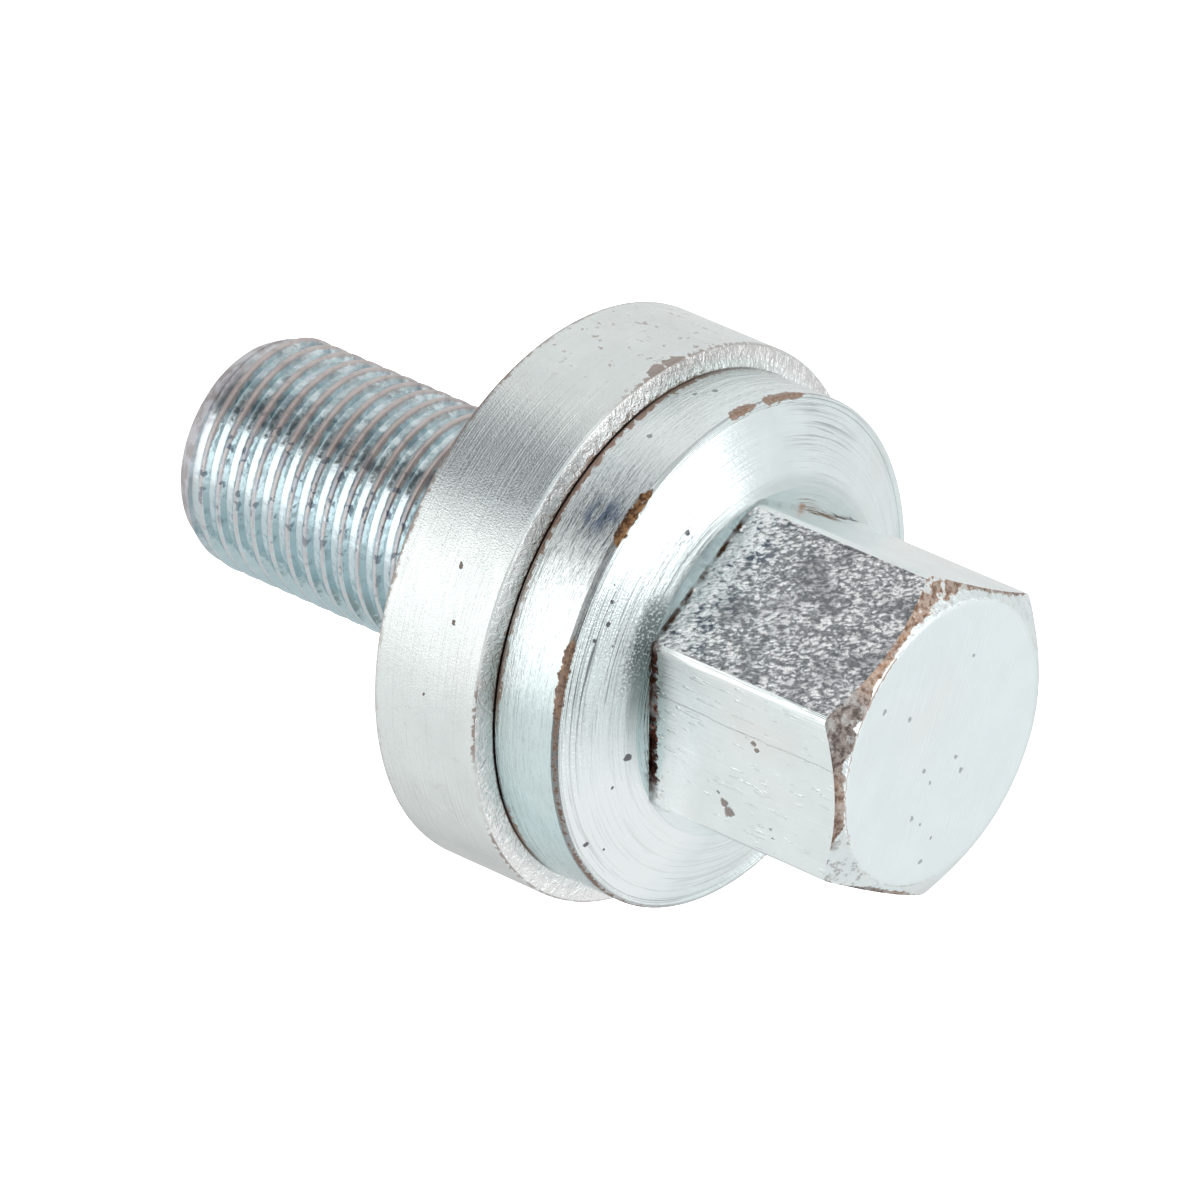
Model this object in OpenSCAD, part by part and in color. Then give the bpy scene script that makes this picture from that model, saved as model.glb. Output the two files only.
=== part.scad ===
// Crankshaft pulley bolt, forged and turned in one piece and standing on the end of its thread.
// From the foot up: a short fine-pitch shank, a thick collar that carries the seat, a smaller flange
// with a coned face, a narrow ledge, and a tall drive hexagon with turned corners and a chamfered end.
// The thread's ridges are left off: the shank is drawn at the thread's major diameter.

/* [Shank] */
// Major diameter of the thread
thread_d = 16; // [12:0.5:20]
// Length of the shank, from its end to the seat
shank_len = 27.3; // [20:0.1:60]
// How far the chamfer at the end of the shank goes in from the thread's crests
end_chamfer_depth = 1.2; // [0.5:0.1:2]
// Length of the chamfer at the end of the shank
end_chamfer_len = 1.6; // [0.5:0.1:3]
// How far the plain neck under the seat lies below the thread's crests
neck_depth = 0.5; // [0.2:0.1:1]
// Length of the plain neck under the seat
neck_len = 2.2; // [1.8:0.1:4]
// Radius of the fillet where the neck meets the seat
neck_fillet = 0.7; // [0.3:0.1:1]

/* [Collar] */
// Diameter of the thick collar
collar_d = 37.9; // [36.5:0.1:60]
// Length of the collar's wall
collar_len = 8.35; // [3:0.05:20]
// Width of the broken edges of the collar
edge_break = 0.2; // [0.1:0.05:0.4]
// Rise of the shoulder from the collar's edge to the foot of the flange
shoulder_rise = 0.3; // [0.1:0.1:1]

/* [Flange] */
// Diameter of the flange on top of the collar
flange_d = 34.7; // [29:0.1:35.5]
// Length of the flange's wall
flange_len = 4.9; // [2:0.1:12]
// Radius of the worn rim of the flange
rim_round = 0.35; // [0.1:0.05:0.8]
// Rise of the coned face from the rim to the ledge
cone_rise = 2.1; // [0.8:0.1:5]
// Width of the ledge beyond the hexagon's corners
ledge_margin = 0.05; // [0.05:0.05:0.5]

/* [Hexagon] */
// Width across the flats where the hexagon leaves the ledge
hex_across_flats = 20.8; // [17:0.1:22]
// Length of the hexagon, from the ledge to its front face
hex_len = 15.2; // [8:0.1:30]
// How far each flat leans in from the ledge to the front face
hex_draft = 0.2; // [0:0.05:0.5]
// How far each corner is turned down from a sharp one
corner_cut = 0.16; // [0.05:0.01:0.4]
// How far the front chamfer goes in from the turned corners
face_chamfer_depth = 2; // [1.4:0.05:3]
// Angle of the front chamfer, from the plane of the front face
face_chamfer_angle = 32; // [15:1:45]

/* [Hidden] */
$fn = 96;
steel = [0.80, 0.84, 0.84];
thread_r = thread_d / 2;
neck_r = thread_r - neck_depth;
neck_z = shank_len - neck_len;
collar_r = collar_d / 2;
collar_z = shank_len + collar_len;
flange_r = flange_d / 2;
flange_z = collar_z + shoulder_rise;
rim_z = flange_z + flange_len;
ledge_z = rim_z + cone_rise;
hex_r = hex_across_flats / 2 / cos(30) - corner_cut;
ledge_r = hex_r + ledge_margin;
front_z = ledge_z + hex_len;
// The hexagon's lower end is sunk into the cone, so that the two join all over.
hex_root_z = rim_z;
// Lean of the flats and of the turned corners, as a share of the height
lean = hex_draft / hex_len;
cone_angle = atan2(cone_rise, flange_r - ledge_r);

// Points of an arc about [x, z], counted from the direction of the first angle to the second
function arc(x, z, r, from, to, steps = 6) = [
    for (i = [0:steps])
        let (a = from + (to - from) * i / steps)
        [x + r * cos(a), z + r * sin(a)]
];

// Distance of a flat from the axis, or of a turned corner when given its radius, at height z
function leaned(at_ledge, z) = at_ledge - lean * (z - ledge_z);

module shank() {
    color(steel)
    rotate_extrude()
    polygon(concat(
        [
            [0, 0],
            [thread_r - end_chamfer_depth, 0],
            [thread_r, end_chamfer_len],
            [thread_r, neck_z - neck_depth],
            [neck_r, neck_z]
        ],
        arc(neck_r + neck_fillet, shank_len - neck_fillet, neck_fillet, 180, 90),
        [[0, shank_len]]
    ));
}

module collar() {
    color(steel)
    rotate_extrude()
    polygon([
        [0, shank_len],
        [collar_r - edge_break, shank_len],
        [collar_r, shank_len + edge_break],
        [collar_r, collar_z - edge_break],
        [collar_r - edge_break, collar_z],
        [flange_r, flange_z],
        [0, flange_z]
    ]);
}

module flange() {
    // The rim's arc runs from the wall's direction to that of the coned face.
    color(steel)
    rotate_extrude()
    polygon(concat(
        [
            [0, flange_z],
            [flange_r, flange_z]
        ],
        arc(flange_r - rim_round, rim_z, rim_round, 0, 90 - cone_angle),
        [
            [ledge_r, ledge_z],
            [0, ledge_z]
        ]
    ));
}

// One pair of opposite flats: a wedge that narrows towards the front face
module flat_pair() {
    low = leaned(hex_across_flats / 2, hex_root_z);
    high = leaned(hex_across_flats / 2, front_z);
    rotate([90, 0, 0])
    linear_extrude(hex_across_flats * 2, center = true)
    polygon([
        [-low, hex_root_z],
        [low, hex_root_z],
        [high, front_z],
        [-high, front_z]
    ]);
}

// The turned outline that rounds the six corners and chamfers the front face
module turned_corners() {
    face_r = leaned(hex_r, front_z) - face_chamfer_depth;
    chamfer_z = front_z - face_chamfer_depth * tan(face_chamfer_angle);
    rotate_extrude()
    polygon([
        [0, hex_root_z],
        [leaned(hex_r, hex_root_z), hex_root_z],
        [leaned(hex_r, chamfer_z), chamfer_z],
        [face_r, front_z],
        [0, front_z]
    ]);
}

module hexagon() {
    color(steel)
    intersection() {
        rotate([0, 0, 30]) flat_pair();
        rotate([0, 0, 90]) flat_pair();
        rotate([0, 0, 150]) flat_pair();
        turned_corners();
    }
}

module bolt() {
    color(steel)
    union() {
        shank();
        collar();
        flange();
        hexagon();
    }
}

bolt();
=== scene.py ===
"""Crankshaft pulley bolt in bright zinc-plated steel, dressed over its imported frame.

The bolt stands on the end of its thread. One piece is made: a turned blank, a drafted hexagon
and a cut thread, joined into one closed mesh that stands for the plain CAD solid.
Sizes that a user may change are in metres. All others are in millimetres, and heights count
from the end of the thread. Azimuths are in degrees about the bolt's axis.
"""

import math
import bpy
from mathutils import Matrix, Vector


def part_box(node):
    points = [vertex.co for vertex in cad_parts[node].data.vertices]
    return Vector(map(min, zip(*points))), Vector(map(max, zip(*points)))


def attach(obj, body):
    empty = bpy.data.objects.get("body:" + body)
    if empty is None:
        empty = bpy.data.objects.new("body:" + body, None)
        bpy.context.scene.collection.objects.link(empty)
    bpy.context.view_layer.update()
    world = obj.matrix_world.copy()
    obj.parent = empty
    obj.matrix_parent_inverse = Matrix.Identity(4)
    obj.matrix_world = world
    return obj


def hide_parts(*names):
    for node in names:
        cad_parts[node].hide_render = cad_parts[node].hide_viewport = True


bl_info = {
    "name": "Crankshaft Pulley Bolt",
    "version": (1, 0, 0),
    "blender": (4, 5, 0),
    "location": "3D View > Sidebar > Pulley Bolt",
    "description": "Makes a zinc-plated crankshaft pulley bolt and its studio",
    "category": "Add Mesh",
}

import bpy
from bpy.props import FloatProperty, FloatVectorProperty, IntProperty, PointerProperty
from mathutils import Matrix, Vector, noise

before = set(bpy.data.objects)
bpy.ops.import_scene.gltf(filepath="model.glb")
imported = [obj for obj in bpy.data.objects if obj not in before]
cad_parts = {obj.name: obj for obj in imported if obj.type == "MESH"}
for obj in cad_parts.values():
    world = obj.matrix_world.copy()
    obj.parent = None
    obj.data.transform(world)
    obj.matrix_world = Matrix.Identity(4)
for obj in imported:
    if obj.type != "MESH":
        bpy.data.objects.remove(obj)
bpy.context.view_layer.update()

MM = 0.001
BOLT_LOW, BOLT_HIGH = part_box("bolt")

# Lengths along the axis
COLLAR_LENGTH = 8.35
SHOULDER_RISE = 0.3
FLANGE_LENGTH = 4.9
CONE_RISE = 2.1
HEX_LENGTH = 15.2
# How far each flat leans in over the hexagon's length, and how far its foot is sunk
HEX_DRAFT = 0.2
HEX_SUNK = 1.2
# How far the thread ends short of the seat, and how far the plain neck lies below its crests
THREAD_GAP = 2.7
NECK_DEPTH = 0.5
# Radius of the flange, and that at which its coned face ends in a narrow flat ledge
FLANGE_RADIUS = 17.35
LEDGE_RADIUS = 11.72
# Half the width across the flats at the ledge
HALF_FLATS = 10.4
# Radius of the front face, and the angle of the chamfer round it
FACE_RADIUS = 9.66
CHAMFER_ANGLE = 32
# Azimuth of the one flat that was left as forged, and how often it is cut for its relief
SCALED_AZIMUTH = -30
SCALED_CUTS = 110

# Heights that the finishes go by
SEAT_Z = 27.3
COLLAR_Z = SEAT_Z + COLLAR_LENGTH
FLANGE_Z = COLLAR_Z + SHOULDER_RISE
RIM_Z = FLANGE_Z + FLANGE_LENGTH
LEDGE_Z = RIM_Z + CONE_RISE
FRONT_Z = LEDGE_Z + HEX_LENGTH

# Slots of the bolt's finishes, in the order of FINISHES
SHANK, COLLAR, SHOULDER, WALL, CONE, FLAT, SCALED, FACE, CHAMFER = range(9)

# Rust on the flange's rim and the thin grey line along it, by azimuth
RIM_RUST = (
    (-180, 0.15), (-115, 0.2), (-98, 0.3), (-84, 0.45), (-81, 0.95), (-71, 0.95), (-69, 0.4), (-67, 0.5),
    (-65, 1.0), (-60, 1.0), (-57, 0.1), (-34, 0.1), (-31, 1.0), (-20, 1.0), (-17, 0.3), (2, 0.35),
    (5, 0.95), (17, 1.0), (22, 0.6), (45, 0.55), (72, 0.65), (100, 0.5), (130, 0.1),
)
RIM_LINE = (
    (-110, 0.6), (-60, 0.6), (-52, 0.4), (-34, 0.4), (-22, 0.8), (18, 1.0), (60, 0.7), (130, 0.3),
)
# Width of the worn strip on the front chamfer, from its outer edge, in parts of 1.6 mm
CHAMFER_WORN = (
    (-180, 0.0), (-125, 0.0), (-112, 0.12), (-95, 0.13), (-76, 0.18), (-69, 0.4), (-65, 0.85), (-56, 0.85),
    (-50, 0.5), (-44, 0.33), (-30, 0.28), (-16, 0.4), (-9, 1.0), (6, 1.0), (12, 0.42), (24, 0.36),
    (40, 0.42), (45, 0.1), (46, 0.0), (70, 0.06), (78, 0.2), (100, 0.2), (110, 0.05), (118, 0.0),
)
# How rusty that strip is, where it isn't grey
CHAMFER_RUST = (
    (-180, 0.4), (-80, 0.5), (-66, 0.8), (-45, 1.0), (-16, 0.9), (-9, 0.05), (10, 0.05), (22, 0.6),
    (46, 0.6), (54, 0.0), (84, 0.1), (95, 0.5),
)
FACE_CHIPS = (
    (-120, 0.0), (-66, 0.4), (-56, 0.2), (-38, 0.2), (-30, 1.0), (-8, 1.0), (8, 0.8), (44, 0.7),
    (54, 0.15), (80, 0.4), (104, 0.4), (125, 0.0),
)
# Painted shade on the thread's grooves round the axis, and painted navy dark reflections in them
GROOVE_SHADE = (
    (-180, 0.6), (-88, 0.5), (-76, 0.35), (-62, 0.2), (-50, 0.4), (-40, 0.5), (-24, 0.6), (-14, 0.0),
    (10, 0.0), (30, 0.45), (44, 0.6), (54, 1.0), (90, 1.0),
)
GROOVE_NAVY = (
    (-130, 0.0), (-104, 0.8), (-88, 0.6), (-74, 0.1), (-54, 0.15), (-44, 0.3), (-34, 0.5), (-22, 0.5),
    (-13, 0.0),
)
# Where the thread's crests begin, in parts of 0.5 mm, and how dark and dull they are. Their dark is painted
# shade where the light is bright; their dull brown is partly worn plating and partly painted shade, broad
# where the light is low
CREST_START = (
    (-180, 0.6), (-100, 0.55), (-70, 0.55), (-45, 0.5), (-30, 0.35), (-20, 0.3), (-12, 0.6), (10, 0.8),
    (60, 0.88), (90, 0.9),
)
CREST_DARK = ((-30, 0.0), (-15, 0.2), (-7, 1.0), (12, 1.0), (34, 0.4), (60, 0.0))
CREST_DULL = (
    (-180, 0.4), (-110, 0.45), (-80, 0.7), (-20, 0.95), (0, 0.6), (25, 0.3), (60, 0.05), (150, 0.1),
)
# Shade in the corner between the shoulder and the flange
SEAM_SHADE = (
    (-180, 0.3), (-100, 0.0), (-80, 0.12), (-62, 0.35), (-50, 0.85), (-42, 1.0), (46, 1.0), (57, 0.6),
    (68, 0.25), (80, 0.0), (150, 0.3),
)
# Painted light and shade on the shoulder's outer and inner half, round the axis
SHOULDER_OUTER = (
    (-180, 0.8), (-100, 0.45), (-84, 0.38), (-76, 0.21), (-68, 0.06), (-60, 0.11), (-52, 0.52), (-36, 0.74),
    (-28, 0.43), (-20, 0.5), (-12, 0.5), (-4, 0.95), (4, 0.85), (12, 0.42), (20, 0.34), (28, 0.56),
    (36, 0.66), (56, 0.75), (72, 0.9),
)
SHOULDER_INNER = (
    (-180, 0.9), (-100, 0.66), (-92, 0.47), (-84, 0.32), (-76, 0.26), (-60, 0.28), (-52, 0.7), (-36, 1.0),
    (-28, 0.9), (-20, 0.35), (-4, 0.3), (4, 0.6), (12, 0.08), (20, 0.05), (28, 0.42), (44, 0.57),
    (52, 0.63), (68, 0.48), (84, 0.68), (110, 0.8),
)
# Painted light and shade on the flange's wall round the axis, pale to bluish. Where painted dark reflections
# run along the wall's turning lines, and where the coned face's grooves are cut deep and painted dark as
# dark reflections
WALL_TONE = (
    (-180, 0.5), (-90, 0.2), (-55, 0.15), (-40, 0.0), (-12, 0.0), (6, 0.25), (20, 0.6), (54, 1.0),
    (110, 0.7),
)
WALL_HATCH = ((-46, 0.0), (-30, 0.6), (-18, 1.0), (-9, 0.55), (0, 0.2), (16, 0.3), (40, 0.1))
CONE_TURNED = (
    (-112, 0.1), (-96, 0.5), (-88, 0.5), (-74, 0.0), (-17, 0.0), (-6, 0.6), (2, 1.0), (15, 0.85),
    (32, 0.25), (140, 0.2), (172, 0.6),
)

# Small pits, each at (x, y, z) with its radius
COLLAR_PITS = ((18.93, -0.79, 32.12, 0.17), (18.75, 2.73, 32.87, 0.15), (17.23, 7.88, 31.43, 0.09))
WALL_PITS = ((7.18, -15.79, 38.02, 0.2), (8.27, -15.25, 37.39, 0.16), (12.36, -12.18, 37.97, 0.18))
CONE_PITS = (
    (11.26, -7.35, 42.35, 0.19), (9.92, 7.44, 42.75, 0.27), (8.9, 13.75, 41.22, 0.18),
    (7.22, 13.84, 41.52, 0.12), (9.7, 9.6, 42.27, 0.13), (15.26, -0.55, 41.62, 0.14),
    (15.63, -3.09, 41.38, 0.08), (15.49, -2.01, 41.49, 0.11), (14.43, 0.66, 41.93, 0.09),
    (15.84, 0.65, 41.41, 0.12),
)
FLAT_PITS = (
    (9.86, 3.51, 51.2, 0.2), (9.67, 3.82, 51.46, 0.22), (7.59, 7.51, 48.36, 0.17),
    (6.72, 9.02, 47.97, 0.14), (7.26, 8.07, 48.88, 0.34), (7.0, 8.52, 49.26, 0.4),
    (6.17, 9.84, 52.95, 0.12), (6.66, 9.13, 47.84, 0.14), (7.01, 8.4, 52.69, 0.14),
    (6.67, 8.98, 52.86, 0.13), (5.92, 10.5, 44.44, 0.22), (6.03, 10.27, 46.23, 0.2),
)
# Pits of the front face, each at (x, y) with its radius
FACE_PITS = (
    (-0.16, -5.86, 0.15), (7.45, -1.4, 0.2), (4.42, -1.15, 0.15), (-2.09, 0.73, 0.15),
    (-3.15, 1.51, 0.2), (0.91, 1.94, 0.16), (-0.21, 2.64, 0.12), (0.38, 5.11, 0.18),
    (-0.73, 5.41, 0.12), (-2.46, 6.14, 0.13), (-2.17, 7.78, 0.2),
)

# Tint that makes rust a pale stain, and the colour of the line along the rim
STAIN_TINT = (1.2, 1.5, 1.7)
LINE_GREY = (0.05, 0.045, 0.05)

# Soft lights of the studio: azimuth, elevation, inner and outer half angle, strength
SOFT_LIGHTS = (
    (12, -34, 8, 36, 0.66),
    (-167, 68, 8, 21, 1.9),
    (-34, 76, 6, 16, 0.7),
    (175, 60, 3, 13, 0.4),
    (-50, -1, 3, 11, 1.0),
)
# Dark cards that the steel mirrors, in the same way, with how much light each one takes
DARK_CARDS = (
    (-37, -34, 6, 19, 0.95),
    (-52, -60, 6, 24, 0.75),
    (85, 74, 3, 14, 0.75),
    (-8, 34, 6, 20, 0.6),
    (150, -34, 10, 34, 0.28),
)
# Strength of the light from all round, and the grey that the camera sees behind the bolt
EVEN_LIGHT = 0.85
BACKDROP = (0.97, 0.97, 0.97)

# The photo's viewpoint: direction to the camera, roll, the point it looks at, distance and lens
CAMERA_AZIMUTH = -7.860
CAMERA_ELEVATION = 33.814
CAMERA_ROLL = -113.506
CAMERA_AIM = (-1.26, 0.49, 29.26)
CAMERA_DISTANCE = 819.42
CAMERA_LENS = 383.33


# Property groups

class PulleyBoltSizes(bpy.types.PropertyGroup):
    """Sizes that the photo gives and that a user may change."""

    thread_diameter: FloatProperty(
        name="Thread Diameter", description="Over the thread's crests", default=16 * MM, unit="LENGTH"
    )
    thread_pitch: FloatProperty(
        name="Thread Pitch", description="Distance from crest to crest", default=1.5 * MM, unit="LENGTH"
    )
    thread_depth: FloatProperty(
        name="Thread Depth", description="From the crests to the roots", default=0.55 * MM, unit="LENGTH"
    )
    shank_length: FloatProperty(
        name="Shank Length", description="From the end of the thread to the seat",
        default=SEAT_Z * MM, unit="LENGTH"
    )
    collar_diameter: FloatProperty(
        name="Collar Diameter", description="Over the thick collar",
        default=BOLT_HIGH[0] - BOLT_LOW[0], unit="LENGTH"
    )
    flange_diameter: FloatProperty(
        name="Flange Diameter", description="Over the flange with the coned face",
        default=2 * FLANGE_RADIUS * MM, unit="LENGTH"
    )
    across_flats: FloatProperty(
        name="Across Flats", description="Width of the hexagon at the ledge",
        default=2 * HALF_FLATS * MM, unit="LENGTH"
    )
    total_length: FloatProperty(
        name="Total Length", description="From the end of the thread to the front face",
        default=BOLT_HIGH[2] - BOLT_LOW[2], unit="LENGTH"
    )
    turned_steps: IntProperty(
        name="Turned Steps", description="Facets round a turned surface", default=256, min=48, max=512
    )


class PulleyBoltColours(bpy.types.PropertyGroup):
    """Colours of the plating and of what has happened to it."""

    zinc: FloatVectorProperty(
        name="Zinc", description="Bright plating",
        default=(0.82, 0.90, 0.905), subtype="COLOR", min=0.0, max=1.0
    )
    brown: FloatVectorProperty(
        name="Worn Brown", description="Worn plating on crests and edges",
        default=(0.40, 0.31, 0.27), subtype="COLOR", min=0.0, max=1.0
    )
    rust: FloatVectorProperty(
        name="Rust", description="Rust in corners and on chamfers",
        default=(0.34, 0.16, 0.08), subtype="COLOR", min=0.0, max=1.0
    )
    floor: FloatVectorProperty(
        name="Floor", description="Pale studio floor",
        default=(0.92, 0.92, 0.92), subtype="COLOR", min=0.0, max=1.0
    )


# Modelling helpers

def direction(azimuth, elevation):
    a, e = math.radians(azimuth), math.radians(elevation)
    return (math.cos(a) * math.cos(e), math.sin(a) * math.cos(e), math.sin(e))


def switch_to(mode):
    bpy.ops.object.mode_set(mode=mode)


def select_mesh(action):
    bpy.ops.mesh.select_all(action=action)


def deselect():
    if bpy.context.object and bpy.context.object.mode != "OBJECT":
        switch_to("OBJECT")
    bpy.ops.object.select_all(action="DESELECT")


def draw_profile(name, points):
    """A line of vertices in the XZ plane, drawn from one vertex by extruding."""
    deselect()
    bpy.ops.mesh.primitive_plane_add(size=MM)
    drawn = bpy.context.object
    drawn.name = name
    switch_to("EDIT")
    select_mesh("SELECT")
    bpy.ops.mesh.merge(type="CENTER")
    bpy.ops.transform.translate(value=(points[0][0] * MM, 0, points[0][1] * MM))
    for (x0, z0), (x1, z1) in zip(points, points[1:]):
        step = ((x1 - x0) * MM, 0, (z1 - z0) * MM)
        bpy.ops.mesh.extrude_vertices_move(TRANSFORM_OT_translate={"value": step})
    return drawn


def turn(name, points, steps):
    """A closed solid of revolution about Z from a profile that starts and ends on the axis."""
    turned = draw_profile(name, points)
    select_mesh("SELECT")
    bpy.ops.mesh.spin(steps=steps, angle=math.tau, center=(0, 0, 0), axis=(0, 0, 1))
    select_mesh("SELECT")
    bpy.ops.mesh.remove_doubles(threshold=2e-6)
    bpy.ops.mesh.normals_make_consistent(inside=False)
    switch_to("OBJECT")
    return turned


def arc(x, z, radius, start, end, steps):
    """Points of an arc about (x, z), from one direction to another in degrees."""
    angles = [math.radians(start + (end - start) * i / steps) for i in range(steps + 1)]
    return [(x + radius * math.cos(a), z + radius * math.sin(a)) for a in angles]


def fill_in(points, spacing):
    """The same line with points added so that none are further apart than the spacing."""
    fine = [points[0]]
    for (x0, z0), (x1, z1) in zip(points, points[1:]):
        parts = max(1, math.ceil(math.hypot(x1 - x0, z1 - z0) / spacing))
        fine += [(x0 + (x1 - x0) * i / parts, z0 + (z1 - z0) * i / parts) for i in range(1, parts + 1)]
    return fine


def combine(target, tool, operation):
    """Joins or cuts the target with the tool, which is used up."""
    deselect()
    bpy.context.view_layer.objects.active = target
    target.select_set(True)
    boolean = target.modifiers.new("combine", "BOOLEAN")
    boolean.operation = operation
    boolean.solver = "EXACT"
    boolean.object = tool
    bpy.ops.object.modifier_apply(modifier=boolean.name)
    bpy.data.objects.remove(tool, do_unlink=True)


def paint_faces(piece, which):
    """Gives every face the slot that the function returns for its centre and normal."""
    for material in bolt_materials():
        piece.data.materials.append(material)
    for face in piece.data.polygons:
        face.material_index = which(face.center / MM, face.normal)


# Shapes

def turned_blank(sizes):
    """Neck, collar, shoulder, flange and coned face, without the thread and the hexagon."""
    seat = sizes.shank_length / MM
    collar = sizes.collar_diameter / MM / 2
    flange = sizes.flange_diameter / MM / 2
    shoulder = seat + COLLAR_LENGTH
    foot = shoulder + SHOULDER_RISE
    rim = foot + FLANGE_LENGTH
    ledge = rim + CONE_RISE
    neck = sizes.thread_diameter / MM / 2 - NECK_DEPTH
    edge = LEDGE_RADIUS
    cone = math.degrees(math.atan2(CONE_RISE, flange - edge))
    points = [(0, seat - 5.5), (neck - 0.55, seat - 5.5), (neck, seat - 3.2)]
    points += arc(neck + 0.7, seat - 0.7, 0.7, 180, 90, 6)
    points += [(13, seat), (collar - 0.2, seat)]
    points += arc(collar - 0.2, seat + 0.2, 0.2, -45, 0, 2)
    points += fill_in([(collar, seat + 0.3), (collar, shoulder - 0.35)], 0.9)
    points += arc(collar - 0.22, shoulder - 0.22, 0.22, 0, 70, 4)
    points += fill_in([(collar - 0.3, shoulder + 0.02), (flange + 0.06, foot - 0.03)], 0.16)
    points += [(flange - 0.02, foot - 0.05), (flange - 0.03, foot + 0.06), (flange, foot + 0.16)]
    points += fill_in([(flange, foot + 0.4), (flange, rim - 0.2)], 0.7)
    points += arc(flange - 0.3, rim - 0.02, 0.3, 10, 90 - cone, 5)
    face = fill_in([(flange - 0.4, rim + 0.12), (edge + 0.2, ledge - 0.06)], 0.13)
    points += [(x, z + 0.016 * noise.noise((x * 3.1, 4.0, 2.0))) for x, z in face]
    points += [(edge + 0.08, ledge - 0.02), (edge, ledge), (9.0, ledge), (0, ledge)]
    blank = turn("turned_blank", points, sizes.turned_steps)

    def region(centre, normal):
        radius = math.hypot(centre.x, centre.y)
        if centre.z < seat - 0.02 and radius < neck + 1:
            return SHANK
        if centre.z < shoulder - 0.02:
            return COLLAR
        if centre.z < foot and radius > flange - 0.05:
            return SHOULDER
        if centre.z < rim - 0.05:
            return WALL
        return CONE

    paint_faces(blank, region)
    return blank


def drafted_hexagon(sizes):
    """Six leaning flats with rounded corners and a chamfered front face."""
    top = sizes.total_length / MM
    over = top + 1
    ledge = top - HEX_LENGTH
    foot = ledge - HEX_SUNK
    lean = HEX_DRAFT / HEX_LENGTH
    apothem = sizes.across_flats / MM / 2
    low = (apothem + lean * (ledge - foot)) / math.cos(math.radians(30))
    high = (apothem - lean * (over - ledge)) / math.cos(math.radians(30))
    deselect()
    bpy.ops.mesh.primitive_cylinder_add(
        vertices=6,
        radius=low * MM,
        depth=(over - foot) * MM,
        location=(0, 0, (over + foot) / 2 * MM),
        rotation=(0, 0, math.radians(30)),
    )
    hexagon = bpy.context.object
    hexagon.name = "drafted_hexagon"
    bpy.ops.object.transform_apply(location=True, rotation=True, scale=True)
    mesh = hexagon.data
    for vertex in mesh.vertices:
        vertex.select = vertex.co.z > top * MM
    switch_to("EDIT")
    bpy.ops.transform.resize(value=(high / low, high / low, 1), center_override=(0, 0, top * MM))
    select_mesh("DESELECT")
    switch_to("OBJECT")
    for edge in mesh.edges:
        a, b = (mesh.vertices[i].co for i in edge.vertices)
        edge.select = abs(a.z - b.z) > 5 * MM
    switch_to("EDIT")
    bpy.ops.mesh.bevel(offset=0.5 * MM, segments=4, profile=0.5, affect="EDGES")
    select_mesh("DESELECT")
    switch_to("OBJECT")
    scaled = Vector(direction(SCALED_AZIMUTH, 0))
    for face in mesh.polygons:
        face.select = face.normal.dot(scaled) > 0.999
    switch_to("EDIT")
    bpy.ops.mesh.subdivide(number_cuts=SCALED_CUTS)
    switch_to("OBJECT")
    wide = 12.8
    slope = math.tan(math.radians(CHAMFER_ANGLE))
    outline = [(0, foot - 0.5), (wide, foot - 0.5), (wide, top - (wide - FACE_RADIUS) * slope)]
    outline += [(FACE_RADIUS + 0.07, top - 0.045), (FACE_RADIUS - 0.05, top), (FACE_RADIUS - 0.4, top)]
    envelope = turn("chamfer_envelope", outline + [(0, top)], 192)
    combine(hexagon, envelope, "INTERSECT")

    def region(centre, normal):
        if normal.z > 0.95:
            return FACE
        if normal.z > 0.4:
            return CHAMFER
        return SCALED if normal.dot(scaled) > 0.97 else FLAT

    paint_faces(hexagon, region)
    return hexagon


def cut_thread(sizes):
    """The shank's thread as one helical sheet, closed at both ends and chamfered at its foot."""
    crest = sizes.thread_diameter / MM / 2
    root = crest - sizes.thread_depth / MM
    pitch = sizes.thread_pitch / MM
    end = sizes.shank_length / MM - THREAD_GAP
    line = [
        (root + 0.03, 0.00), (root + 0.005, 0.14), (root, 0.30), (root + 0.005, 0.46), (root + 0.03, 0.60),
        (root + 0.10, 0.72), (root + 0.26, 0.83), (crest - 0.10, 0.92), (crest - 0.02, 0.99), (crest, 1.06),
        (crest, 1.18), (crest - 0.02, 1.25), (crest - 0.10, 1.32), (root + 0.22, 1.40), (root + 0.03, 1.50),
    ]
    line = [(x, z * pitch / 1.5 - 2 * pitch) for x, z in line]
    shank = draw_profile("cut_thread", line)
    switch_to("OBJECT")
    screw = shank.modifiers.new("screw", "SCREW")
    screw.axis = "Z"
    screw.angle = math.tau
    screw.screw_offset = pitch * MM
    screw.iterations = math.ceil(end / pitch) + 3
    screw.steps = screw.render_steps = 96
    screw.use_merge_vertices = True
    screw.merge_threshold = 1e-6
    bpy.ops.object.modifier_apply(modifier=screw.name)
    switch_to("EDIT")
    select_mesh("SELECT")
    bpy.ops.mesh.remove_doubles(threshold=2e-6)
    for height, inner, outer in ((-0.4, True, False), (end, False, True)):
        select_mesh("SELECT")
        bpy.ops.mesh.bisect(
            plane_co=(0, 0, height * MM),
            plane_no=(0, 0, 1),
            use_fill=True,
            clear_inner=inner,
            clear_outer=outer,
            threshold=1e-7,
        )
    select_mesh("SELECT")
    bpy.ops.mesh.normals_make_consistent(inside=False)
    switch_to("OBJECT")
    outline = [(0, 0), (6.7, 0), (6.86, 0.05), (7.1, 0.3), (root, 0.95), (crest - 0.25, 1.5)]
    outline += [(crest + 0.2, 2.6), (crest + 0.2, end + 0.4), (0, end + 0.4)]
    combine(shank, turn("end_chamfer", outline, 128), "INTERSECT")
    paint_faces(shank, lambda centre, normal: SHANK)
    return shank


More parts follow.
